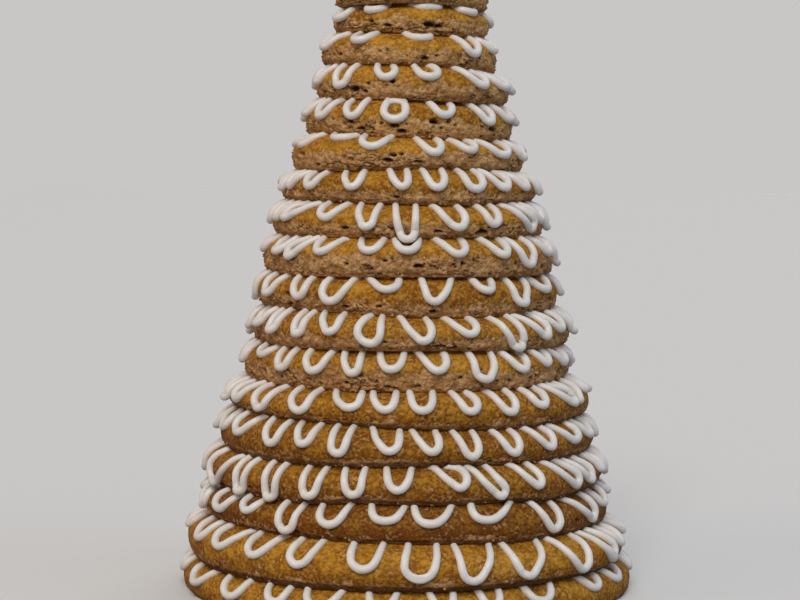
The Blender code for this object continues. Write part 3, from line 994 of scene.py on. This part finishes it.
def crumbSpots():  # places on the torn sides, picked among the points of the dough
    chance = np.random.default_rng(crumbs["seed"])
    spots, sizes = [], []
    for ring, dough in zip(rings, doughs):
        count = len(dough.data.vertices)
        readings = {}
        for name in ("band", "hollow"):
            readings[name] = np.empty(count, np.float32)
            dough.data.attributes[name].data.foreach_get("value", readings[name])
        places = np.empty(count * 3, np.float32)
        dough.data.vertices.foreach_get("co", places)
        places = places.reshape(-1, 3)
        radii = np.hypot(places[:, 0], places[:, 1])
        outer = radii > ring.outside(0.0) - 4.5 * mm
        torn = (readings["band"] > 0.7) & (readings["hollow"] < 0.2)
        free = np.flatnonzero(torn & outer & (places[:, 2] > 1.5 * mm))
        wanted = round(crumbs["perRing"] * ringLooks[ring.number - 1][1])
        for index in chance.choice(free, min(wanted, len(free)), False):
            spots.append(places[index])
            sizes.append(chance.uniform(*crumbs["size"]))
    return makeGuide("crumbSpots", spots, [], {"size": sizes})


crumbTree = buildCrumbTree()
crumbPiece = bake(crumbSpots(), crumbTree, {"Seed": crumbs["seed"], "Dough": doughMaterial}, "crumbs")


def makeBrightCrumb():
    look = brightCrumbLook
    material, tree, place = newMaterial("brightCrumb")
    spots = useGroup(tree, mottling, Vector=place, Scale=1400.0, Seed=4.0, Sharpness=6.0)["Mask"]
    orange = mixColour(tree, spots, look["orange"], look["darkOrange"])
    setFinish(tree, {"Base Color": orange, "Roughness": 0.7})
    ring = rings[look["ring"] - 1]
    angle = frontAngle(look["bearing"])
    height = ring.crown(angle) - look["drop"] + 0.5 * look["size"]
    middle = around(angle, besideCrown(ring, angle, look["drop"]), height)
    bpy.ops.mesh.primitive_ico_sphere_add(subdivisions=2, radius=look["size"])
    piece = bpy.context.object
    piece.name = "bright_crumb"
    chance = random.Random(5)
    for vertex in piece.data.vertices:
        grown = vertex.co * chance.uniform(0.8, 1.15)
        vertex.co = Vector((1.25 * grown.x, grown.y, 0.85 * grown.z)) + middle
    piece.data.materials.append(material)
    return piece


brightCrumb = makeBrightCrumb()
print("crumbs scattered:", len(crumbPiece.data.polygons))


for piece in (crumbPiece, brightCrumb):
    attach(piece, "root")
for ring, dough, icing in zip(rings, doughs, icings):
    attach(dough, "root")
    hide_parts(f"ring_{ring.number:02d}")
    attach(icing, "root")
    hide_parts(f"icing_{ring.number:02d}")


# The floor, the light and the camera.
studio = {
    "floorRadius": 30.0,
    "paper": (0.78, 0.78, 0.775, 1.0),
    "bounce": (0.26, 0.26, 0.27, 1.0),  # what the floor throws back at the rings
    "backdrop": (0.579, 0.567, 0.564, 1.0),
    "skyColour": (0.90, 0.93, 1.0, 1.0),
    "ambient": 0.24,
    # where it shines from, strength, angle it fills in degrees, colour
    "lamps": (
        ("window", (-0.11, -0.90, 0.80), 1.73, 35.0, (1.0, 0.97, 0.93)),
        ("warmSide", (-1.0, -0.40, 0.30), 0.55, 50.0, (1.0, 0.64, 0.33)),
        ("coolSide", (1.0, -0.15, 0.35), 0.46, 50.0, (0.54, 0.70, 1.0)),
        ("back", (0.3, 1.0, 0.9), 0.50, 50.0, (1.0, 0.98, 0.95)),
    ),
}


def makeFloor():
    material, tree, place = newMaterial("palePaper")
    fibres = useGroup(tree, mottling, Vector=place, Scale=220.0, Seed=9.0, Sharpness=1.5)["Mask"]
    low = tuple(value * 0.97 for value in studio["paper"][:3]) + (1.0,)
    paper = mixColour(tree, fibres, studio["paper"], low)
    seen = tree.nodes.new("ShaderNodeLightPath").outputs["Is Camera Ray"]
    setFinish(tree, {"Base Color": mixColour(tree, seen, studio["bounce"], paper), "Roughness": 0.9})
    bpy.ops.mesh.primitive_circle_add(vertices=128, radius=studio["floorRadius"], fill_type="NGON")
    floor = bpy.context.object
    floor.name = "floor"
    floor.data.materials.append(material)


def makeLamps():
    for name, source, strength, angle, colour in studio["lamps"]:
        data = bpy.data.lights.new(name, "SUN")
        data.energy = strength
        data.angle = math.radians(angle)
        data.color = colour
        addObject(name, data).rotation_euler = (-Vector(source)).to_track_quat("-Z", "Y").to_euler()


def makeWorld():
    world = bpy.data.worlds.new("studio")
    bpy.context.scene.world = world
    world.use_nodes = True
    tree = world.node_tree
    tree.nodes.clear()
    seen = addNode(tree, "ShaderNodeBackground", {"Color": studio["backdrop"], "Strength": 1.0})
    light = addNode(tree, "ShaderNodeBackground", {
        "Color": studio["skyColour"], "Strength": studio["ambient"]})
    camera = tree.nodes.new("ShaderNodeLightPath").outputs["Is Camera Ray"]
    both = addNode(tree, "ShaderNodeMixShader", {0: camera, 1: light.outputs[0], 2: seen.outputs[0]})
    tree.links.new(both.outputs[0], tree.nodes.new("ShaderNodeOutputWorld").inputs[0])


view = {"place": (-0.0035, -0.892, 0.186), "down": 3.58, "roll": 0.42, "lens": 87.75}


def makeCamera():
    data = bpy.data.cameras.new("camera")
    data.lens = view["lens"]
    data.sensor_width = 36.0
    data.clip_start = 0.02
    data.clip_end = 100.0
    camera = addObject("camera", data)
    pitch = Matrix.Rotation(math.radians(90.0 - view["down"]), 4, "X")
    roll = Matrix.Rotation(math.radians(view["roll"]), 4, "Z")
    camera.matrix_world = Matrix.Translation(view["place"]) @ pitch @ roll
    bpy.context.scene.camera = camera


makeFloor()
makeLamps()
makeWorld()
makeCamera()
bpy.context.scene.view_settings.view_transform = "Standard"
bpy.context.scene.view_settings.look = "None"
print("studio ready")

bpy.data.objects.remove(outlineGuide)
